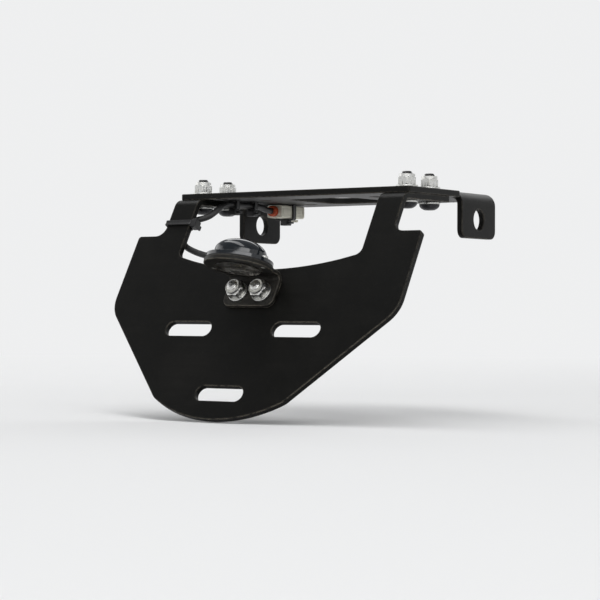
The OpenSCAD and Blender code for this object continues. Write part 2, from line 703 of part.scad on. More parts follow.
module lamp_lead() color(rubber_black) {
    path = path_points(lead_route, lead_steps);
    n = len(path);
    k = lead_sides;
    polyhedron(
        points = [for (i = [0:n - 1]) each ring(path, i, lead_d / 2, k)],
        faces = concat([[for (j = [0:k - 1]) j]],
            [for (i = [0:n - 2], j = [0:k - 1])
                [i * k + j, (i + 1) * k + j, (i + 1) * k + (j + 1) % k, i * k + (j + 1) % k]],
            [[for (j = [k - 1:-1:0]) (n - 1) * k + j]]));
}

module lead_connector() color("ivory") along_plug(plug_start) difference() {
    linear_extrude(plug_l) polygon(rounded(rectangle(-plug_w / 2, -plug_h / 2, plug_w / 2, plug_h / 2),
        [plug_edge_r, plug_edge_r, plug_edge_r, plug_edge_r]));
    translate([0, 0, plug_l - plug_mouth]) linear_extrude(plug_mouth + past)
        square([plug_w - 2 * plug_wall, plug_h - 2 * plug_wall], center = true);
    translate([0, 0, -past]) cylinder(d = lead_d + 2 * thread_clear, h = past + lead_in + lead_clear);
}

module connector_pins() color("gold") along_plug(plug_start + plug_l - plug_mouth)
    for (s = [-1, 1]) translate([s * pin_pitch / 2, 0, 0]) cylinder(d = pin_d, h = plug_mouth - pin_recess);

module connector_seal() color("orangered") along_plug(seal_start) difference() {
    cylinder(d = seal_d, h = seal_l);
    translate([0, 0, -past]) cylinder(d = lead_d + 2 * thread_clear, h = seal_l + 2 * past);
}

// Cable ties: a band around what is held, with a square lock
module arm_tie_loop(grow) {
    hull() {
        translate([-arm_outer - grow, -grow]) square([arm_w + 2 * grow, plate_t + 2 * grow]);
        translate([-arm_mid, plate_t + lead_clear + lead_d / 2]) circle(r = lead_d / 2 + grow, $fn = 32);
    }
}

module arm_tie() color(plastic_black) on_plate() translate([0, 0, arm_tie_z - tie_w / 2]) {
    linear_extrude(tie_w) difference() {
        arm_tie_loop(tie_clear + tie_t);
        arm_tie_loop(tie_clear);
    }
    translate([-arm_inner + tie_clear + tie_t / 2, (plate_t - lock_w) / 2, (tie_w - lock_w) / 2])
        cube([lock_h, lock_w, lock_w]);
}

module deck_tie(i) {
    bottom = -deck_t - lead_clear - tie_drops[i] - tie_clear;
    half = tie_halves[i] + tie_clear;
    translate([lead_x, tie_ys[i] + tie_w / 2, 0]) rotate([90, 0, 0]) linear_extrude(tie_w) difference() {
        polygon(rounded(rectangle(-half - tie_t, bottom - tie_t, half + tie_t, tie_clear + tie_t),
            [tie_t, tie_t, tie_t, tie_t]));
        polygon(rectangle(-half, bottom, half, tie_clear));
    }
    translate([lead_x, tie_ys[i], bottom - (tie_t + lock_h) / 2]) cube([lock_w, lock_w, lock_h], center = true);
}
module deck_ties() color(plastic_black) for (i = [0:len(tie_ys) - 1]) deck_tie(i);

number_plate_bracket();
main_bracket();
joint_bolts();
joint_head_washers();
joint_nut_washers();
joint_nuts();
joint_nut_rings();
lamp_bracket();
lamp_bolts();
lamp_head_washers();
lamp_nut_washers();
lamp_nuts();
lamp_nut_rings();
lamp_housing();
lamp_gasket();
lamp_lens();
lamp_reflector();
led_board();
led_chips();
lamp_screws();
lead_gland();
lamp_lead();
lead_connector();
connector_pins();
connector_seal();
arm_tie();
deck_ties();
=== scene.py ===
import math

import bmesh
import bpy
from mathutils import Matrix, Vector


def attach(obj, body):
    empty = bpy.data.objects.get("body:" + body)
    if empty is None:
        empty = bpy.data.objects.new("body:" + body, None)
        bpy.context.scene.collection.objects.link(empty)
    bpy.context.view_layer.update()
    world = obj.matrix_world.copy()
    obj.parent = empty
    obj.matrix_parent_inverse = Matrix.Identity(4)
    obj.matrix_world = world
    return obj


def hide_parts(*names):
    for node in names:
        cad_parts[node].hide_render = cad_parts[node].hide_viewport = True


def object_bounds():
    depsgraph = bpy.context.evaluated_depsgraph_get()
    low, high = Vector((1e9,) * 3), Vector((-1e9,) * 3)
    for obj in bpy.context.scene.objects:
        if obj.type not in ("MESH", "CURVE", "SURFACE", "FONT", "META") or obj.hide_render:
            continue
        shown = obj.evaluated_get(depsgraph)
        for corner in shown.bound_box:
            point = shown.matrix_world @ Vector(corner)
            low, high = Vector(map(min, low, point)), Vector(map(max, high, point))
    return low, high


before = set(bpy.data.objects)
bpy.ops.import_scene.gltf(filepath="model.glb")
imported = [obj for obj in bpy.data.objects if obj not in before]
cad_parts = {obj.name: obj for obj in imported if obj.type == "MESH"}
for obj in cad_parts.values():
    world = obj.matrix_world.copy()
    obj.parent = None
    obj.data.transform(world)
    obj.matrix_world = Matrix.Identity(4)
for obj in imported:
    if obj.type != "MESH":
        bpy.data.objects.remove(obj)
cad_low, cad_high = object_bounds()
scene = bpy.context.scene
scene.view_settings.view_transform = "Standard"

# Camera: it stands behind the tidy and to its right, level with the plate, as in the photograph.
# A longer lens, turned to the middle of the tidy, fills the frame with it.
camera_station = Vector((0.5256, -0.8009, -0.0571))
camera_aim = Vector((0.0, -0.036, -0.0515))
camera_up = Vector((0.0425, -0.0677, 0.9968))
camera_lens = 118
towards_camera = (camera_station - camera_aim).normalized()
camera_right = camera_up.cross(towards_camera).normalized()
camera_turn = Matrix((camera_right, towards_camera.cross(camera_right), towards_camera)).transposed()
camera = bpy.data.objects.new("camera", bpy.data.cameras.new("camera"))
camera.matrix_world = Matrix.Translation(camera_station) @ camera_turn.to_4x4()
camera.data.lens = camera_lens
scene.collection.objects.link(camera)
scene.camera = camera


# Floor and backdrop: one pale sheet, flat under the tidy and swept up all round it.
# Seen from underneath it is clear, so that the tidy's underside can be looked at.
def node(tree, kind, inputs=(), **settings):
    made = tree.nodes.new("ShaderNode" + kind)
    for key, value in settings.items():
        setattr(made, key, value)
    for key, value in dict(inputs).items():
        if isinstance(value, bpy.types.NodeSocket):
            tree.links.new(value, made.inputs[key])
        else:
            made.inputs[key].default_value = value
    return made


def arithmetic(tree, operation, *values, clamp=False):
    """One step of arithmetic on shader values."""
    return node(tree, "Math", dict(enumerate(values)), operation=operation, use_clamp=clamp).outputs[0]


def spread(tree, value, start=0.0, end=1.0, low=0.0, high=1.0):
    """A value taken from one range to another, and held at its ends."""
    limits = {"Value": value, "From Min": start, "From Max": end, "To Min": low, "To Max": high}
    return node(tree, "MapRange", limits).outputs[0]


def turned(rows, closed=False, caps=(True, True)):
    """A mesh of rings of points, joined in order, as a lathe or a thread mill leaves it."""
    bm = bmesh.new()
    rings = [[bm.verts.new(point) for point in row] for row in rows]
    sides = len(rings[0])
    for i in range(len(rings) if closed else len(rings) - 1):
        low, high = rings[i], rings[(i + 1) % len(rings)]
        for j in range(sides):
            bm.faces.new((low[j], low[(j + 1) % sides], high[(j + 1) % sides], high[j]))
    if not closed and caps[0]:
        bm.faces.new(list(reversed(rings[0])))
    if not closed and caps[1]:
        bm.faces.new(rings[-1])
    bmesh.ops.recalc_face_normals(bm, faces=bm.faces)
    return bm


def circle_row(radius, z, sides):
    return [(radius * math.cos(2 * math.pi * j / sides), radius * math.sin(2 * math.pi * j / sides), z)
            for j in range(sides)]


floor_gap = 0.0002
floor_z = cad_low.z - floor_gap
floor_sides = 96
floor_r = 1.5
flat_rings = (0.02, 0.1, 0.4, 1.0, floor_r)
sweep_r = 1.1
sweep_step = 6
sweep_rings = 15
floor_rows = [circle_row(r, floor_z, floor_sides) for r in flat_rings]
for i in range(1, sweep_rings + 1):
    a = math.radians(sweep_step * i)
    sweep_z = floor_z + sweep_r * (1 - math.cos(a))
    floor_rows.append(circle_row(floor_r + sweep_r * math.sin(a), sweep_z, floor_sides))
floor_bm = turned(floor_rows, caps=(True, False))
bmesh.ops.reverse_faces(floor_bm, faces=floor_bm.faces)
for face in floor_bm.faces:
    face.smooth = True
floor = bpy.data.objects.new("floor", bpy.data.meshes.new("floor"))
floor_bm.to_mesh(floor.data)
floor_bm.free()
scene.collection.objects.link(floor)

# Near the tidy the paper is lit and shadowed. Further out it fades into an even pale backdrop.
backdrop_colour = (0.86, 0.865, 0.87, 1)
floor_paper = bpy.data.materials.new("pale_floor")
floor_paper.use_nodes = True
tree = floor_paper.node_tree
tree.nodes.clear()
paper_grain = node(tree, "TexNoise", {"Scale": 3.0, "Detail": 2.0})
paper_tint = spread(tree, paper_grain.outputs["Fac"], low=0.82, high=0.84)
paper_colour = node(tree, "CombineColor", {"Red": paper_tint, "Green": paper_tint, "Blue": paper_tint})
paper = node(tree, "BsdfDiffuse", {"Color": paper_colour.outputs[0]})
backdrop = node(tree, "Emission", {"Color": backdrop_colour, "Strength": 1.0})
side = node(tree, "NewGeometry")
out_from_middle = node(tree, "VectorMath", {0: side.outputs["Position"]}, operation="LENGTH")
far = node(tree, "MapRange", {"Value": out_from_middle.outputs["Value"], "From Min": 0.3, "From Max": 1.3},
           interpolation_type="SMOOTHSTEP")
path = node(tree, "LightPath")
seen = arithmetic(tree, "ADD", path.outputs["Is Camera Ray"], path.outputs["Is Glossy Ray"])
seen_all = arithmetic(tree, "ADD", seen, path.outputs["Is Transmission Ray"], clamp=True)
fade = arithmetic(tree, "MULTIPLY", far.outputs[0], seen_all)
paper_fade = node(tree, "MixShader", {0: fade, 1: paper.outputs[0], 2: backdrop.outputs[0]})
clear = node(tree, "BsdfTransparent")
paper_mix = node(tree, "MixShader", {0: side.outputs["Backfacing"], 1: paper_fade.outputs[0],
                                     2: clear.outputs[0]})
node(tree, "OutputMaterial", {"Surface": paper_mix.outputs[0]})
floor.data.materials.append(floor_paper)

# Soft studio light: a wide bank overhead, a long key above the camera, a low fill on the left and one
# behind, with an even pale sky. All are large, so black paint shows only broad, soft sheens.
light_aim = Vector((0, -0.04, -0.05))
sky_colour = (0.86, 0.88, 0.9, 1)
sky_strength = 0.36
for lamp_name, place, width, height, power in [
    ("overhead", (-0.1, -0.2, 1.3), 2.8, 0.45, 13.0),
    ("key", (0.85, -1.24, 0.62), 2.6, 0.26, 9.0),
    ("fill", (-1.4, -0.2, 0.35), 1.4, 0.7, 3.0),
    ("back", (-0.4, 1.3, 0.8), 1.6, 0.6, 6.0),
]:
    lamp = bpy.data.objects.new(lamp_name, bpy.data.lights.new(lamp_name, "AREA"))
    lamp.data.shape = "RECTANGLE"
    lamp.data.size = width
    lamp.data.size_y = height
    lamp.data.energy = power
    lamp.location = place
    lamp.rotation_euler = (light_aim - Vector(place)).to_track_quat("-Z", "Y").to_euler()
    scene.collection.objects.link(lamp)
sky = bpy.data.worlds.new("studio")
sky.use_nodes = True
sky.node_tree.nodes["Background"].inputs["Color"].default_value = sky_colour
sky.node_tree.nodes["Background"].inputs["Strength"].default_value = sky_strength
scene.world = sky

# Number plate bracket: one piece of 3 mm steel, laser cut and folded, its edges deburred before a satin
# black powder coat. The coat has a fine orange peel and holds some dust. Its edges are paler, partly
# where the coat is worn thin and partly a painted highlight on edges that face down.
seam = 3e-5
flat_angle = math.radians(0.5)
notch_angle = math.radians(150)
smooth_angle = math.radians(44)
room_to_round = 1.1


def eased(name, source, width, sharper_than=28.0, sliver=0.0):
    """A copy of a node of the frame with its sharp edges eased, as deburring and paint leave them.

    Faces narrower than a sliver are taken out first. An edge beside a face too narrow to round stays
    sharp, and so does one at the end of a notch that closes to nothing.
    """
    bm = bmesh.new()
    bm.from_mesh(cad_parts[source].data)
    bmesh.ops.remove_doubles(bm, verts=bm.verts, dist=seam)
    if sliver:
        bmesh.ops.dissolve_degenerate(bm, edges=bm.edges, dist=sliver)
    bmesh.ops.dissolve_limit(bm, angle_limit=flat_angle, verts=bm.verts, edges=bm.edges)
    notch_edges = [edge for edge in bm.edges if edge.calc_face_angle(0) > notch_angle]
    notch_ends = {vert for edge in notch_edges for vert in edge.verts}
    rounds = bm.edges.layers.int.new("rounds")
    for edge in bm.edges:
        sharp = edge.calc_face_angle(0) > math.radians(sharper_than)
        needed = room_to_round * width * edge.calc_length()
        wide = all(face.calc_area() > needed for face in edge.link_faces)
        edge[rounds] = sharp and wide and not notch_ends.intersection(edge.verts)
    bmesh.ops.triangulate(bm, faces=[face for face in bm.faces if len(face.verts) > 4])
    bmesh.ops.bevel(bm, geom=[edge for edge in bm.edges if edge[rounds]], offset=width, segments=3,
                    profile=0.5, affect="EDGES")
    bmesh.ops.dissolve_degenerate(bm, edges=bm.edges, dist=1e-6)
    return finished(name, bm, [source])


def finished(name, bm, stands_for):
    """A piece from a bmesh: smooth with flat faces kept flat, riding on the tidy."""
    piece = bpy.data.objects.new(name, bpy.data.meshes.new(name))
    for face in bm.faces:
        face.smooth = True
    bm.to_mesh(piece.data)
    bm.free()
    piece.data.set_sharp_from_angle(angle=smooth_angle)
    scene.collection.objects.link(piece)
    weighted = piece.modifiers.new("flat_faces", "WEIGHTED_NORMAL")
    weighted.keep_sharp = True
    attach(piece, "root")
    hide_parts(*stands_for)
    return piece


def socket_kind(label):
    return "NodeSocketVector" if label == "Normal" else "NodeSocketFloat"


def effect(name, inputs, outputs):
    """An empty shader group with its sockets made. A Normal is a vector, and the rest are numbers."""
    group = bpy.data.node_groups.new(name, "ShaderNodeTree")
    for label, value in inputs.items():
        socket = group.interface.new_socket(label, in_out="INPUT", socket_type=socket_kind(label))
        if value is not None:
            socket.default_value = value
    for label in outputs:
        group.interface.new_socket(label, in_out="OUTPUT", socket_type=socket_kind(label))
    return group, group.nodes.new("NodeGroupInput"), group.nodes.new("NodeGroupOutput")


# grain: a bumpy skin of one size, with a mask of its high spots
grain, grain_in, grain_out = effect(
    "grain", {"Size": 0.001, "Depth": 0.2, "Normal": None}, ["Mask", "Normal"])
grain_place = node(grain, "TexCoord")
grain_scale = arithmetic(grain, "DIVIDE", 1.0, grain_in.outputs["Size"])
grain_noise = node(grain, "TexNoise", {"Vector": grain_place.outputs["Object"], "Scale": grain_scale,
                                       "Detail": 3.0, "Roughness": 0.55})
grain_bump = node(grain, "Bump", {"Height": grain_noise.outputs["Fac"], "Strength": grain_in.outputs["Depth"],
                                  "Distance": 0.0002, "Normal": grain_in.outputs["Normal"]})
grain.links.new(grain_noise.outputs["Fac"], grain_out.inputs["Mask"])
grain.links.new(grain_bump.outputs["Normal"], grain_out.inputs["Normal"])

# edge_wear_and_highlight: a broken mask along the edges, partly wear and partly a painted highlight,
# strongest where they face down
wear_and_highlight_group, wear_in, wear_and_highlight_out = effect("edge_wear_and_highlight", {"Width": 0.0006, "Amount": 0.5}, ["Mask"])
wear_round = node(wear_and_highlight_group, "Bevel", {"Radius": wear_in.outputs["Width"]}, samples=6)
wear_true = node(wear_and_highlight_group, "NewGeometry")
wear_dot = node(wear_and_highlight_group, "VectorMath", {0: wear_round.outputs["Normal"], 1: wear_true.outputs["Normal"]},
                operation="DOT_PRODUCT")
wear_edge = spread(wear_and_highlight_group, wear_dot.outputs["Value"], start=0.998, end=0.94)
wear_place = node(wear_and_highlight_group, "TexCoord")
wear_noise = node(wear_and_highlight_group, "TexNoise", {"Vector": wear_place.outputs["Object"], "Scale": 320.0, "Detail": 5.0,
                                     "Roughness": 0.7})
wear_break = spread(wear_and_highlight_group, wear_noise.outputs["Fac"], start=0.36, end=0.52)
wear_split = node(wear_and_highlight_group, "SeparateXYZ", {"Vector": wear_round.outputs["Normal"]})
# Painted highlight: edges that face down get more of the mask, as if light from below catches them
painted_highlight_down = spread(wear_and_highlight_group, wear_split.outputs["Z"], start=0.35, end=-0.25, low=0.3)
wear_and_highlight_edges = arithmetic(wear_and_highlight_group, "MULTIPLY", wear_edge, painted_highlight_down)
wear_and_highlight_broken = arithmetic(wear_and_highlight_group, "MULTIPLY", wear_and_highlight_edges, wear_break)
wear_and_highlight_amount = arithmetic(wear_and_highlight_group, "MULTIPLY", wear_and_highlight_broken, wear_in.outputs["Amount"], clamp=True)
wear_and_highlight_group.links.new(wear_and_highlight_amount, wear_and_highlight_out.inputs["Mask"])

# road_dust: a soft cloudy film, thicker on what faces up and in patches, with fine specks
speck_share = 0.35
dust, dust_in, dust_out = effect("road_dust", {"Patch Size": 0.02, "Amount": 0.3}, ["Mask"])
dust_place = node(dust, "TexCoord").outputs["Object"]
dust_scale = arithmetic(dust, "DIVIDE", 1.0, dust_in.outputs["Patch Size"])
dust_cloud = node(dust, "TexNoise", {"Vector": dust_place, "Scale": dust_scale, "Detail": 6.0,
                                     "Roughness": 0.62, "Distortion": 0.4})
dust_speck = node(dust, "TexNoise", {"Vector": dust_place, "Scale": 900.0, "Detail": 2.0})
dust_stretch = node(dust, "Mapping", {"Vector": dust_place, "Scale": (25.0, 300.0, 420.0)})
dust_wipe = node(dust, "TexNoise", {"Vector": dust_stretch.outputs[0], "Scale": 1.0, "Detail": 4.0,
                                    "Roughness": 0.6})
dust_cloudy = spread(dust, dust_cloud.outputs["Fac"], start=0.4, end=0.75)
dust_wiped = spread(dust, dust_wipe.outputs["Fac"], start=0.35, end=0.7, low=0.35)
dust_patch = arithmetic(dust, "MULTIPLY", dust_cloudy, dust_wiped)
dust_dot = spread(dust, dust_speck.outputs["Fac"], start=0.55, end=0.75)
dust_side = node(dust, "NewGeometry")
dust_split = node(dust, "SeparateXYZ", {"Vector": dust_side.outputs["Normal"]})
dust_up = spread(dust, dust_split.outputs["Z"], start=-0.4, low=0.3)
dust_lay = arithmetic(dust, "MULTIPLY", dust_patch, dust_up)
dust_sum = arithmetic(dust, "MULTIPLY_ADD", dust_dot, speck_share, dust_lay)
dust_amount = arithmetic(dust, "MULTIPLY", dust_sum, dust_in.outputs["Amount"], clamp=True)
dust.links.new(dust_amount, dust_out.inputs["Mask"])


def group(tree, which, **values):
    made = tree.nodes.new("ShaderNodeGroup")
    made.node_tree = which
    for key, value in values.items():
        key = key.replace("_", " ")
        if isinstance(value, bpy.types.NodeSocket):
            tree.links.new(value, made.inputs[key])
        else:
            made.inputs[key].default_value = value
    return made


def mixed(tree, factor, low, high):
    """A colour between two, by a mask."""
    mix = tree.nodes.new("ShaderNodeMix")
    mix.data_type = "RGBA"
    tree.links.new(factor, mix.inputs["Factor"])
    for key, value in (("A", low), ("B", high)):
        socket = [s for s in mix.inputs if s.name == key and s.type == "RGBA"][0]
        if isinstance(value, bpy.types.NodeSocket):
            tree.links.new(value, socket)
        else:
            socket.default_value = (*value, 1)
    return [s for s in mix.outputs if s.type == "RGBA"][0]


def new_finish(name):
    finish = bpy.data.materials.new(name)
    finish.use_nodes = True
    return finish, finish.node_tree, finish.node_tree.nodes["Principled BSDF"]


def lay_on(tree, skin, colour, roughness, normal):
    """Gives a finish its colour, roughness and surface. A plain roughness is set on the shader itself."""
    tree.links.new(colour, skin.inputs["Base Color"])
    if isinstance(roughness, bpy.types.NodeSocket):
        tree.links.new(roughness, skin.inputs["Roughness"])
    else:
        skin.inputs["Roughness"].default_value = roughness
    tree.links.new(normal, skin.inputs["Normal"])


# Pale tan on the edges: worn coat, and a painted highlight where the edges face down
worn_and_highlit_coat = (0.3, 0.27, 0.215)
coat_film = (0.16, 0.145, 0.125)
film_matt = 0.6
peel_lighter = 1.7


def powder_coat(name, colour, wear_and_highlight, dusty, peel_size=0.0011, peel_depth=0.16):
    finish, tree, skin = new_finish(name)
    peel = group(tree, grain, Size=peel_size, Depth=peel_depth)
    fine = group(tree, grain, Size=0.00028, Depth=0.10, Normal=peel.outputs["Normal"])
    coat_wear_and_highlight = group(tree, wear_and_highlight_group, Width=0.0007, Amount=wear_and_highlight)
    film = group(tree, dust, Patch_Size=0.03, Amount=dusty)
    patch = spread(tree, peel.outputs["Mask"], high=0.35)
    base = mixed(tree, patch, colour, tuple(c * peel_lighter for c in colour))
    worn_and_highlit_base = mixed(tree, coat_wear_and_highlight.outputs["Mask"], base, worn_and_highlit_coat)
    dusted = mixed(tree, film.outputs["Mask"], worn_and_highlit_base, coat_film)
    gloss = spread(tree, fine.outputs["Mask"], low=0.36, high=0.48)
    matt = arithmetic(tree, "MULTIPLY_ADD", film.outputs["Mask"], film_matt, gloss, clamp=True)
    lay_on(tree, skin, dusted, matt, fine.outputs["Normal"])
    skin.inputs["Specular IOR Level"].default_value = 0.12
    return finish


plate_black = (0.0032, 0.0032, 0.0028)
sheet_ease = 0.0004
plate = eased("plate_bracket", "number_plate_bracket", sheet_ease)
plate.data.materials.append(powder_coat("satin_black_coat", plate_black, wear_and_highlight=0.8, dusty=0.045))

# Main bracket: the deck that carries the two arms, 3 mm steel with a flange turned down at each side.
# It is laser cut and folded like the plate, and has the same satin black coat.
deck_black = (0.0048, 0.0048, 0.0044)
deck = eased("main_deck", "main_bracket", sheet_ease, sliver=seam)
deck.data.materials.append(powder_coat("deck_coat", deck_black, wear_and_highlight=0.5, dusty=0.07))

# Lamp bracket: folded 2 mm steel, a leg and a tongue with a round end, in the same coat. Its coat is
# more mottled, dustier and a little paler than the plate's.
tongue_black = (0.011, 0.0108, 0.0098)
tongue = eased("lamp_carrier", "lamp_bracket", width=0.0003)
tongue.data.materials.append(
    powder_coat("mottled_coat", tongue_black, wear_and_highlight=0.7, dusty=0.4, peel_size=0.0016, peel_depth=0.3))

# Bolts: M5 button heads with a hexagon socket and a rolled thread of 0.8 mm pitch that shows past each
# nut. Four in black oxide hold the arms to the deck, and two in zinc hold the lamp bracket.
steel_t = 0.003
tongue_t = 0.002
plate_place = (0, -0.083196, -0.06489)
plate_lean = 30
lamp_place = (0, -0.015472, 0.0227)
tongue_droop = 15
leg_bolt_x = 0.0065
leg_bolt_z = 0.018
arm_mid = 0.05825
joint_bolt_ys = (-0.035, -0.015)
quarter_turn = Matrix.Rotation(math.radians(90), 4, "X")
plate_frame = Matrix.Translation(plate_place) @ Matrix.Rotation(math.radians(-plate_lean), 4, "X")
lamp_turn = Matrix.Rotation(math.radians(tongue_droop), 4, "X")
lamp_frame = plate_frame @ Matrix.Translation(lamp_place) @ lamp_turn
leg_places = [plate_frame @ Matrix.Translation((x, steel_t, leg_bolt_z)) @ quarter_turn
              for x in (-leg_bolt_x, leg_bolt_x)]
joint_places = [Matrix.Translation((x, y, -2 * steel_t)) for x in (-arm_mid, arm_mid) for y in joint_bolt_ys]
washer_t = 0.001
nut_end = 0.005
bolt_over = 0.0012
bolt_sides = 36
bolt_end_r = 0.0004
head_r = 0.00475
head_h = 0.00275
head_rim = 0.0003
head_ease = 0.00012
crown_r = 0.0023
crown_angle = 61
crown_rings = 7
# The socket, from its bottom to its mouth: its size across the flats and its depth
socket_steps = ((0.0028, 0.0016), (0.003, 0.00145), (0.003, 0.00015))
socket_mouth_r = 0.0019
drill_r = 0.0002
drill_deep = 0.0019
thread_r = 0.0025
thread_ease = 0.00004
thread_root_r = 0.00204
thread_pitch = 0.0008
rings_a_turn = 8
thread_run_in = 0.001
shank_l = 0.0003
shank_fill = 0.9
crest_width = 1.6
flank_steep = 4.4
end_chamfer = 0.0006
chamfer_steep = 1.2


def bolt_rows(grip):
    """Rings of one bolt, from the bottom of its socket round its head and along its thread."""
    base = -washer_t - head_h
    end = grip + washer_t + nut_end + bolt_over
    angles = [2 * math.pi * j / bolt_sides for j in range(bolt_sides)]

    def ring(radius, z):
        return [(radius * math.cos(a), radius * math.sin(a), z) for a in angles]

    def hexagon(across, z):
        rows = []
        for a in angles:
            part = (a + math.pi / 6) % (math.pi / 3) - math.pi / 6
            r = across / 2 / math.cos(part)
            rows.append((r * math.cos(a), r * math.sin(a), z))
        return rows

    rows = [ring(drill_r, base + drill_deep)]
    rows += [hexagon(across, base + deep) for across, deep in socket_steps]
    rows += [ring(socket_mouth_r, base), ring(crown_r, base)]
    crown_h = head_h - head_rim
    for i in range(1, crown_rings + 1):
        a = math.radians(crown_angle * (1 - i / crown_rings))
        fall = 1 - math.sin(a) / math.sin(math.radians(crown_angle))
        rows.append(ring(head_r * math.cos(a), base + crown_h * fall))
    rows += [ring(head_r, base + head_h - head_ease), ring(head_r - head_ease, base + head_h),
             ring(thread_r - thread_ease, base + head_h)]
    start = base + head_h + shank_l
    rows.append(ring(thread_r - thread_ease, start))
    steps = int((end - start) / (thread_pitch / rings_a_turn))
    for i in range(steps + 1):
        height = start + (end - start) * i / steps
        row = []
        for a in angles:
            phase = (height / thread_pitch - a / (2 * math.pi)) % 1.0
            crest = min(1.0, max(0.0, crest_width - abs(phase - 0.5) * flank_steep))
            fill = crest if height > start + thread_run_in else shank_fill
            full_r = thread_root_r + (thread_r - thread_root_r) * fill
            r = min(full_r, thread_r - end_chamfer + (end - height) * chamfer_steep)
            row.append((r * math.cos(a), r * math.sin(a), height))
        rows.append(row)
    rows.append(ring(bolt_end_r, end))
    return rows


def set_out(bm, places):
    """One bmesh with a copy of the given one at each place."""
    template = bpy.data.meshes.new("template")
    bm.to_mesh(template)
    bm.free()
    whole = bmesh.new()
    for place in places:
        copy = template.copy()
        copy.transform(place)
        whole.from_mesh(copy)
        bpy.data.meshes.remove(copy)
    bpy.data.meshes.remove(template)
    return whole


oxide_black = (0.03, 0.03, 0.033)
bare_steel = (0.3, 0.29, 0.28)
oxide, tree, skin = new_finish("black_oxide")
oxide_grain = group(tree, grain, Size=0.0006, Depth=0.12)
# Bare steel on the edges: wear, and a painted highlight on edges that face down
oxide_wear_and_highlight = group(tree, wear_and_highlight_group, Width=0.0004, Amount=0.9)
oxide_colour = mixed(tree, oxide_wear_and_highlight.outputs["Mask"], oxide_black, bare_steel)
oxide_gloss = spread(tree, oxide_grain.outputs["Mask"], low=0.28, high=0.45)
lay_on(tree, skin, oxide_colour, oxide_gloss, oxide_grain.outputs["Normal"])
skin.inputs["Metallic"].default_value = 0.75
arm_bolts = finished("arm_bolts", set_out(turned(bolt_rows(2 * steel_t)), joint_places), ["joint_bolts"])
arm_bolts.data.materials.append(oxide)

# Nuts and washers: bright zinc plated steel. The plating has a faint blue and yellow cast, fine turning
# marks and a dull bloom in patches and specks, most on faces that face up.
zinc_blue = (0.58, 0.6, 0.64)
zinc_yellow = (0.68, 0.66, 0.58)
zinc_bloom = (0.3, 0.28, 0.25)
zinc, tree, skin = new_finish("zinc_plate")
zinc_grain = group(tree, grain, Size=0.0009, Depth=0.18)
zinc_fine = group(tree, grain, Size=0.00012, Depth=0.25, Normal=zinc_grain.outputs["Normal"])
zinc_film = group(tree, dust, Patch_Size=0.004, Amount=0.35)
zinc_cast = mixed(tree, zinc_grain.outputs["Mask"], zinc_blue, zinc_yellow)
zinc_colour = mixed(tree, zinc_film.outputs["Mask"], zinc_cast, zinc_bloom)
zinc_gloss = spread(tree, zinc_grain.outputs["Mask"], low=0.2, high=0.38)
lay_on(tree, skin, zinc_colour, zinc_gloss, zinc_fine.outputs["Normal"])
skin.inputs["Metallic"].default_value = 1.0
leg_bolts = finished("leg_bolts", set_out(turned(bolt_rows(steel_t + tongue_t)), leg_places), ["lamp_bolts"])
leg_bolts.data.materials.append(zinc)
for fixing in ["joint_nuts", "lamp_nuts"]:
    nuts = eased(fixing + "_zinc", fixing, width=0.00012)
    nuts.data.materials.append(zinc)
for washers in ["joint_head_washers", "joint_nut_washers", "lamp_head_washers", "lamp_nut_washers"]:
    stamped = eased(washers + "_zinc", washers, width=0.0002, sharper_than=40.0)
    stamped.data.materials.append(zinc)


def plain_finish(name, grain_size, grain_depth, low, high, roughness, metallic=0.0):
    """A finish of two close colours, mottled by its own grain."""
    finish, tree, skin = new_finish(name)
    skin_grain = group(tree, grain, Size=grain_size, Depth=grain_depth)
    colour = mixed(tree, skin_grain.outputs["Mask"], low, high)
    lay_on(tree, skin, colour, roughness, skin_grain.outputs["Normal"])
    skin.inputs["Metallic"].default_value = metallic
    return finish


nylon = plain_finish("ring_nylon", grain_size=0.0005, grain_depth=0.1, low=(0.6, 0.59, 0.54),
                     high=(0.7, 0.69, 0.63), roughness=0.45)
for rings_node in ["joint_nut_rings", "lamp_nut_rings"]:
    rings = eased(rings_node + "_nylon", rings_node, width=0.00008, sharper_than=40.0)
    rings.data.materials.append(nylon)

# Lamp housing: a gloss black moulded dome on a round base, with a spout for the lead.
# The mould leaves a very slight ripple in the gloss.
# The faint blue in this black is a painted reflection of blue surroundings
gloss_black_painted_blue = (0.006, 0.009, 0.013)
gloss_scuff = (0.05, 0.05, 0.05)
gloss_dust = (0.12, 0.115, 0.105)
gloss_matt = 0.9
gloss_polish = 0.09
gloss, tree, skin = new_finish("gloss_black_moulding")
gloss_ripple = group(tree, grain, Size=0.006, Depth=0.05)
gloss_fine = group(tree, grain, Size=0.0003, Depth=0.03, Normal=gloss_ripple.outputs["Normal"])
gloss_film = group(tree, dust, Patch_Size=0.008, Amount=0.14)
# Scuffed edges: wear, and a painted highlight on edges that face down
gloss_wear_and_highlight = group(tree, wear_and_highlight_group, Width=0.0005, Amount=0.35)
gloss_base = mixed(tree, gloss_wear_and_highlight.outputs["Mask"], gloss_black_painted_blue, gloss_scuff)
gloss_colour = mixed(tree, gloss_film.outputs["Mask"], gloss_base, gloss_dust)
gloss_rough = arithmetic(tree, "MULTIPLY_ADD", gloss_film.outputs["Mask"], gloss_matt, gloss_polish,
                         clamp=True)
lay_on(tree, skin, gloss_colour, gloss_rough, gloss_fine.outputs["Normal"])
skin.inputs["Specular IOR Level"].default_value = 0.55
housing = eased("lamp_dome", "lamp_housing", width=0.00015)
housing.data.materials.append(gloss)


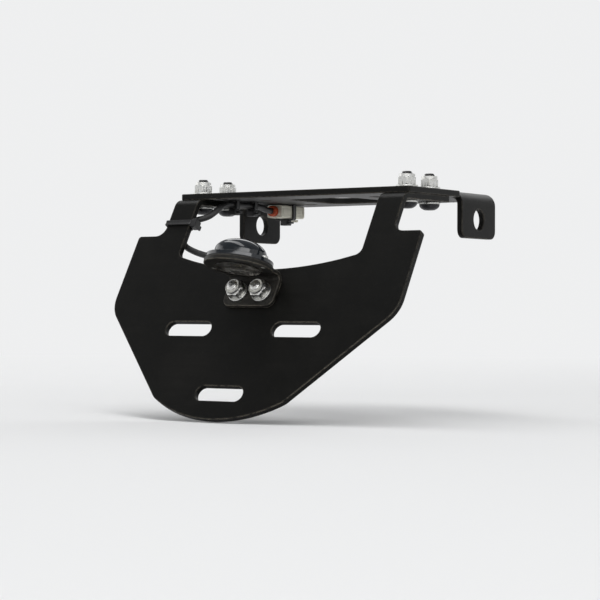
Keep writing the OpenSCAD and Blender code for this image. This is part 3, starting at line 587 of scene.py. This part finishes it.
# Lamp's rubber: a flat gasket under the base, and a gland round the lead with a collar and a ribbed nose.
# Both are soft black rubber, dulled by dust.
def dusty_finish(name, grain_size, grain_depth, patch_size, dusty, colour, dust_colour, roughness):
    """A finish of one colour under a film of dust."""
    finish, tree, skin = new_finish(name)
    skin_grain = group(tree, grain, Size=grain_size, Depth=grain_depth)
    film = group(tree, dust, Patch_Size=patch_size, Amount=dusty)
    dusted = mixed(tree, film.outputs["Mask"], colour, dust_colour)
    lay_on(tree, skin, dusted, roughness, skin_grain.outputs["Normal"])
    return finish


rubber = dusty_finish("soft_rubber", grain_size=0.0004, grain_depth=0.3, patch_size=0.005, dusty=0.3,
                      colour=(0.012, 0.012, 0.012), dust_colour=(0.14, 0.13, 0.115), roughness=0.72)
gasket = eased("base_gasket", "lamp_gasket", width=0.00012, sharper_than=30.0)
gasket.data.materials.append(rubber)

dome_r = 0.012
dome_wall = 0.0016
spout_out = 0.0136
spout_axis = 0.0088
gland_start = dome_r - dome_wall
gland_r = 0.00245
gland_bore = 0.0016
gland_sides = 40
collar_r = 0.0034
collar_t = 0.0012
nose_l = 0.0034
nose_r = 0.0024
nose_ribs = 3
nose_groove_r = nose_r - 0.0004
nose_ease = 0.0001
rib_step = (nose_l - collar_t) / nose_ribs
# Sections of the collar and of one rib: radius, and distance out along the spout
collar_section = ((collar_r - 0.0001, 0.0), (collar_r, 0.0002), (collar_r, collar_t - 0.0003),
                  (collar_r - 0.0003, collar_t))
rib_section = ((nose_groove_r, 0.0001), (nose_groove_r, 0.00025), (nose_r, 0.00035),
               (nose_r - 0.00005, rib_step - 0.00008))
gland_profile = [(gland_bore, gland_start), (gland_r, gland_start), (gland_r, spout_out)]
gland_profile += [(r, spout_out + y) for r, y in collar_section]
for i in range(nose_ribs):
    rib_y = spout_out + collar_t + i * rib_step
    gland_profile += [(r, rib_y + y) for r, y in rib_section]
gland_profile += [(gland_bore + nose_ease, spout_out + nose_l), (gland_bore, spout_out + nose_l - nose_ease)]
along_spout = lamp_frame @ Matrix.Translation((0, 0, spout_axis)) @ quarter_turn.inverted()
gland_rows = [circle_row(r, y, gland_sides) for r, y in gland_profile]
gland = finished("cable_gland", set_out(turned(gland_rows, closed=True), [along_spout]), ["lead_gland"])
gland.data.materials.append(rubber)

# Lens: one clear moulding, lightly smoked, that fills the hole in the tongue. Fine rings and pimples on its
# face spread the light down the plate, and make it look mottled when the lamp is off.
lens_r = 0.0106
lens_rim_r = 0.0116
lens_face = -0.0006
lens_seat = 0.002
lens_top = 0.0034
lens_sides = 96
lens_middle_r = 0.0002
rim_ease = 0.0001
face_ease = 0.0002
first_ring = 0.0004
ring_pitch = 0.00046
ring_depth = 0.0002
ring_count = 22
lens_profile = [(lens_middle_r, lens_top - rim_ease), (lens_rim_r - rim_ease, lens_top),
                (lens_rim_r, lens_top - rim_ease), (lens_rim_r, lens_seat + rim_ease),
                (lens_rim_r - rim_ease, lens_seat), (lens_r, lens_seat),
                (lens_r, lens_face + face_ease), (lens_r - face_ease, lens_face)]
for i in range(ring_count):
    lens_profile.append((lens_r - first_ring - i * ring_pitch, lens_face + (ring_depth if i % 2 else 0.0)))
lens_rows = [circle_row(r, z, lens_sides) for r, z in lens_profile]
lens = finished("ringed_lens", set_out(turned(lens_rows), [lamp_frame]), ["lamp_lens"])
smoked_dark = (0.28, 0.265, 0.235)
smoked_pale = (0.6, 0.57, 0.52)
smoked_dust = (0.5, 0.47, 0.42)
smoked, tree, skin = new_finish("smoked_moulding")
smoked_place = node(tree, "TexCoord")
smoked_cells = node(tree, "TexVoronoi", {"Vector": smoked_place.outputs["Object"], "Scale": 900.0})
smoked_tint = spread(tree, smoked_cells.outputs["Distance"])
smoked_film = group(tree, dust, Patch_Size=0.004, Amount=0.35)
smoked_base = mixed(tree, smoked_tint, smoked_dark, smoked_pale)
smoked_colour = mixed(tree, smoked_film.outputs["Mask"], smoked_base, smoked_dust)
smoked_bump = node(tree, "Bump", {"Height": smoked_cells.outputs["Distance"], "Strength": 0.5,
                                  "Distance": 0.0003})
lay_on(tree, skin, smoked_colour, roughness=0.14, normal=smoked_bump.outputs["Normal"])
skin.inputs["IOR"].default_value = 1.49
skin.inputs["Transmission Weight"].default_value = 1.0
lens.data.materials.append(smoked)

# Reflector cup, circuit board and chips: what shows through the lens. The cup is gloss white, the board
# green solder resist over copper, and each chip a white package with a yellow face.
cup_white = plain_finish("gloss_white_cup", grain_size=0.002, grain_depth=0.06, low=(0.74, 0.74, 0.72),
                         high=(0.8, 0.8, 0.79), roughness=0.18)
cup = eased("reflector_cup", "lamp_reflector", width=0.0001, sharper_than=30.0)
cup.data.materials.append(cup_white)

resist, tree, skin = new_finish("green_resist")
resist_place = node(tree, "TexCoord")
resist_tracks = node(tree, "TexBrick", {
    "Vector": resist_place.outputs["Object"], "Scale": 420.0, "Mortar Size": 0.06,
    "Color1": (0.01, 0.07, 0.03, 1), "Color2": (0.012, 0.09, 0.035, 1), "Mortar": (0.02, 0.16, 0.06, 1)})
resist_grain = group(tree, grain, Size=0.0005, Depth=0.06)
lay_on(tree, skin, resist_tracks.outputs["Color"], roughness=0.3, normal=resist_grain.outputs["Normal"])
board = eased("chip_board", "led_board", width=0.0001, sharper_than=40.0)
board.data.materials.append(resist)

phosphor = plain_finish("phosphor_chip", grain_size=0.0004, grain_depth=0.15, low=(0.75, 0.6, 0.12),
                        high=(0.85, 0.74, 0.25), roughness=0.35)
chips = eased("light_chips", "led_chips", width=0.00012, sharper_than=40.0)
chips.data.materials.append(phosphor)

# Base screws: two small zinc plated steel screws, one at each side of the dome. Their pan heads have a
# cross recess, and they hold the base and its gasket down on the tongue.
base_screws = eased("base_screws", "lamp_screws", width=0.00005, sliver=seam)
base_screws.data.materials.append(zinc)

# Lead: a round two-core lead with a satin black sheath, out of the gland, over the notch's floor, up the
# back of the left arm and under the deck. Its route repeats the frame's, smoothed.
sheath_black = (0.012, 0.012, 0.0125)
sheath_dust = (0.13, 0.12, 0.11)
sheath, tree, skin = new_finish("satin_sheath")
sheath_grain = group(tree, grain, Size=0.0012, Depth=0.12)
sheath_film = group(tree, dust, Patch_Size=0.006, Amount=0.25)
sheath_colour = mixed(tree, sheath_film.outputs["Mask"], sheath_black, sheath_dust)
sheath_gloss = spread(tree, sheath_grain.outputs["Mask"], low=0.4, high=0.55)
lay_on(tree, skin, sheath_colour, sheath_gloss, sheath_grain.outputs["Normal"])

lead_r = 0.0015
lead_x = -0.046
lead_inside = 0.002
lead_sides = 16
lead_steps = 5
# The route's points in millimetres: behind the plate from the notch's floor, up the arm, round its top
# and under the deck
notch_floor = (0, 3, 31.5)
over_notch = ((-1.5, -1, 5.1), (-6, 2.6, 6.3), (-13, 4, 7.3), (-22, 4, 8.5), (-31, 3.6, 9.9), (-40, 3, 11.6),
              (-48, 2.4, 13.8), (-54.4, 2, 17))
up_arm = ((-58.25, 4.8, 54), (-58.25, 4.8, 58), (-58.25, 4.8, 61.6))
round_arm = ((-54.4, 6.4, 63.6), (-49.4, 9, 67.5))
under_deck = ((-36, -6), (-31, -4.8), (-26, -4.8), (-11, -4.8), (-8, -4.8), (-3, -5.31), (1, -6.245),
              (5, -6.5), (12, -6.5))


def by_plate(point, origin=(0, 0, 0)):
    """A point given in millimetres in the plate's own frame."""
    return plate_frame @ Vector([(start + part) / 1000 for start, part in zip(origin, point)])


spout_ys = (dome_r - dome_wall - lead_inside, dome_r, spout_out + nose_l)
lead_points = [lamp_frame @ Vector((0, y, spout_axis)) for y in spout_ys]
lead_points += [by_plate(point, notch_floor) for point in over_notch]
lead_points += [by_plate(point) for point in up_arm + round_arm]
lead_points += [Vector((lead_x, y / 1000, z / 1000)) for y, z in under_deck]


def smooth_path(points, steps):
    """A path through the points, with each bend eased into the next."""
    path = []
    for i in range(len(points) - 1):
        a, b, c, d = points[max(i - 1, 0)], points[i], points[i + 1], points[min(i + 2, len(points) - 1)]
        for s in range(steps):
            t = s / steps
            straight = 2 * b + (c - a) * t
            bent = straight + (2 * a - 5 * b + 4 * c - d) * t * t
            path.append(0.5 * (bent + (3 * b - a - 3 * c + d) * t ** 3))
    return path + [points[-1]]


def swept(path, section):
    """Rings of a section carried along a path without twist. The section is (sideways, up) pairs."""
    rows = []
    across = Vector((1, 0, 0))
    for i, point in enumerate(path):
        along = (path[min(i + 1, len(path) - 1)] - path[max(i - 1, 0)]).normalized()
        across = (across - along * across.dot(along)).normalized()
        up = along.cross(across)
        rows.append([point + across * u + up * v for u, v in section])
    return rows


lead_section = [(x, y) for x, y, z in circle_row(lead_r, 0, lead_sides)]
lead_rows = swept(smooth_path(lead_points, lead_steps), lead_section)
lead = finished("lamp_cable", turned(lead_rows), ["lamp_lead"])
lead.data.materials.append(sheath)

# Connector: an ivory nylon plug with two brass pins in its mouth and a red rubber seal at its back.
# The moulding has ribs along its sides, one across each side by the mouth, and a latch underneath.
ivory_low = (0.62, 0.6, 0.5)
ivory_high = (0.7, 0.68, 0.58)
ivory_dust = (0.3, 0.27, 0.22)
ivory, tree, skin = new_finish("ivory_nylon")
ivory_grain = group(tree, grain, Size=0.0006, Depth=0.12)
ivory_film = group(tree, dust, Patch_Size=0.006, Amount=0.2)
ivory_base = mixed(tree, ivory_grain.outputs["Mask"], ivory_low, ivory_high)
ivory_colour = mixed(tree, ivory_film.outputs["Mask"], ivory_base, ivory_dust)
lay_on(tree, skin, ivory_colour, roughness=0.42, normal=ivory_grain.outputs["Normal"])
plug_axis = -0.0065
plug_start = 0.008
plug_end = 0.028
plug_half_w = 0.0045
plug_low = -0.0097
# Blocks on each side of the plug: from y and z, to y and z
rib_half_t = 0.0003
side_blocks = (
    ((plug_start + 0.0012, plug_axis - 0.0012), (0.0162, plug_axis + 0.0012)),
    ((0.0198, plug_axis - 0.0012), (plug_end - 0.0022, plug_axis + 0.0012)),
    ((plug_end - 0.0014, plug_low + 0.0011), (plug_end - 0.0003, plug_low + 0.0053)),
)
side_ease = 0.00012
# The latch's arm, root and catch: from y and z, to y and z, and the easing of the edges
latch_half_w = 0.0017
latch_blocks = (
    ((0.0202, plug_low - 0.0011), (0.0266, plug_low - 0.0005), 0.0002),
    ((0.0202, plug_low - 0.0007), (0.0212, plug_low + 0.0001), 0.0001),
    ((0.0252, plug_low - 0.0017), (0.0266, plug_low - 0.0008), 0.0002),
)


def eased_block(whole, low, high, bevel, place=Matrix()):
    """Adds a small moulded block with rounded edges to a bmesh."""
    block = bmesh.new()
    size = Vector(high) - Vector(low)
    middle = (Vector(high) + Vector(low)) / 2
    bmesh.ops.create_cube(block, size=1.0, matrix=Matrix.Translation(middle) @ Matrix.Diagonal((*size, 1)))
    bmesh.ops.bevel(block, geom=block.edges, offset=bevel, segments=2, profile=0.5, affect="EDGES")
    block.transform(place)
    part = bpy.data.meshes.new("block")
    block.to_mesh(part)
    block.free()
    whole.from_mesh(part)
    bpy.data.meshes.remove(part)


plug = eased("lead_plug", "lead_connector", width=0.00018, sharper_than=30.0)
plug_bm = bmesh.new()
plug_bm.from_mesh(plug.data)
for side_x in (lead_x - plug_half_w, lead_x + plug_half_w):
    for low, high in side_blocks:
        eased_block(plug_bm, (side_x - rib_half_t, *low), (side_x + rib_half_t, *high), side_ease)
for low, high, latch_ease in latch_blocks:
    eased_block(plug_bm, (lead_x - latch_half_w, *low), (lead_x + latch_half_w, *high), latch_ease)
plug_bm.to_mesh(plug.data)
plug_bm.free()
plug.data.materials.append(ivory)

pin_brass = plain_finish("pin_brass", grain_size=0.0003, grain_depth=0.1, low=(0.72, 0.5, 0.2),
                         high=(0.8, 0.62, 0.3), roughness=0.25, metallic=1.0)
pins = eased("plug_pins", "connector_pins", width=0.0003, sharper_than=40.0)
pins.data.materials.append(pin_brass)

red_rubber = plain_finish("red_rubber", grain_size=0.0005, grain_depth=0.2, low=(0.4, 0.05, 0.015),
                          high=(0.5, 0.08, 0.02), roughness=0.6)
seal_start = 0.005
seal_bore = 0.0016
seal_sides = 40
seal_ribs = 3
seal_pitch = 0.001
# Section of one rib of the seal: radius and distance along
seal_section = ((0.0023, 0.00005), (0.0026, 0.0002), (0.0027, 0.0005), (0.0026, 0.0008), (0.0023, 0.00095))
seal_profile = [(seal_bore, seal_start)]
for i in range(seal_ribs):
    rib_y = seal_start + i * seal_pitch
    seal_profile += [(r, rib_y + y) for r, y in seal_section]
seal_profile.append((seal_bore, seal_start + seal_ribs * seal_pitch))
along_plug = Matrix.Translation((lead_x, 0, plug_axis)) @ quarter_turn.inverted()
seal_rows = [circle_row(r, y, seal_sides) for r, y in seal_profile]
plug_seal = finished("plug_seal", set_out(turned(seal_rows, closed=True), [along_plug]), ["connector_seal"])
plug_seal.data.materials.append(red_rubber)

# Cable ties: black nylon bands with a square lock. One holds the lead to the left arm and three hold
# it and its plug under the deck.
tie_nylon = dusty_finish("tie_nylon", grain_size=0.0005, grain_depth=0.15, patch_size=0.004, dusty=0.2,
                         colour=(0.01, 0.01, 0.011), dust_colour=(0.12, 0.11, 0.1), roughness=0.4)
tie_t = 0.001
tie_half_w = 0.00125
tie_clear = 0.00015
# The band's section, as shares of its thickness and of half its width
tie_section = [(0, 0.84), (0.2, 1), (0.8, 1), (1, 0.84), (1, 0.62), (0.88, 0.5),
               (0.88, -0.5), (1, -0.62), (1, -0.84), (0.8, -1), (0.2, -1), (0, -0.84)]
head_half = 0.0021
head_deep = 0.003
# The lock's body, its raised mouth and the cut end of the strap: low corner, high corner and easing
head_blocks = (
    ((0, -head_half, -head_half), (head_deep, head_half, head_half), 0.0004),
    ((0.0006, head_half - 0.0001, -0.0016), (0.0026, head_half + 0.0003, 0.0016), 0.00015),
    ((0.0011, head_half, -0.0011), (0.0021, head_half + 0.0021, 0.0011), 0.00012),
)


def round_corner(at, start, end, steps=6):
    """Points of one corner of a band's loop, each with the direction that faces out of the loop there."""
    turns = [math.radians(start + (end - start) * i / steps) for i in range(steps + 1)]
    return [(Vector(at), Vector((math.cos(a), math.sin(a)))) for a in turns]


def tie_band(loop, inner, place):
    """A closed band: its moulded section, with a shallow channel outside, carried round a loop."""
    rows = []
    for at, out in loop:
        ring = [(*(at + out * (inner + u * tie_t)), v * tie_half_w) for u, v in tie_section]
        rows.append([place @ Vector(point) for point in ring])
    return turned(rows, closed=True)


def tie_head(whole, place):
    for low, high, bevel in head_blocks:
        eased_block(whole, low, high, bevel, place)


lead_gap = 0.0003
arm_outer = 0.065
arm_inner = 0.0515
arm_tie_z = 0.058
lead_off = Vector((-arm_mid, steel_t + lead_gap + lead_r))
to_corner = Vector((-arm_inner, steel_t)) - lead_off
tangent = math.degrees(math.atan2(to_corner.y, to_corner.x) + math.acos(lead_r / to_corner.length))
over_lead = [(at + out * lead_r, out) for at, out in round_corner(lead_off, tangent, 180 - tangent, steps=8)]
arm_loop = (round_corner((-arm_outer, 0), 180, 270) + round_corner((-arm_inner, 0), 270, 360)
            + round_corner((-arm_inner, steel_t), 0, tangent) + over_lead[1:-1]
            + round_corner((-arm_outer, steel_t), 180 - tangent, 180))
arm_tie_place = plate_frame @ Matrix.Translation((0, 0, arm_tie_z))
arm_head_place = Matrix.Translation((-arm_inner + tie_clear + tie_t / 2, steel_t / 2, 0))
lead_tie_bm = tie_band(arm_loop, tie_clear, arm_tie_place)
tie_head(lead_tie_bm, arm_tie_place @ arm_head_place)
lead_tie = finished("lead_tie", lead_tie_bm, ["arm_tie"])
lead_tie.data.materials.append(tie_nylon)

# Under the deck each loop has four corners of one inside radius. Each tie is given by its place along the
# lead, half the width of what it holds and how far that hangs down.
inner_r = 0.0003
plug_drop = 0.0064
held = ((-0.026, lead_r, 2 * lead_r), (-0.011, lead_r, 2 * lead_r), (0.018, plug_half_w, plug_drop))
head_down = Matrix.Rotation(math.radians(-90), 4, "Z")
deck_ties_bm = bmesh.new()
for tie_y, half_w, drop in held:
    half = half_w + tie_clear - inner_r
    low = -steel_t - lead_gap - drop - tie_clear + inner_r
    top = tie_clear - inner_r
    deck_loop = (round_corner((half, low), -90, 0) + round_corner((half, top), 0, 90)
                 + round_corner((-half, top), 90, 180) + round_corner((-half, low), 180, 270))
    tie_place = Matrix.Translation((lead_x, tie_y, 0)) @ quarter_turn
    band_bm = tie_band(deck_loop, inner_r, tie_place)
    tie_head(band_bm, tie_place @ Matrix.Translation((0, low - inner_r - tie_t / 2, 0)) @ head_down)
    band = bpy.data.meshes.new("band")
    band_bm.to_mesh(band)
    band_bm.free()
    deck_ties_bm.from_mesh(band)
    bpy.data.meshes.remove(band)
deck_ties = finished("under_deck_ties", deck_ties_bm, ["deck_ties"])
deck_ties.data.materials.append(tie_nylon)
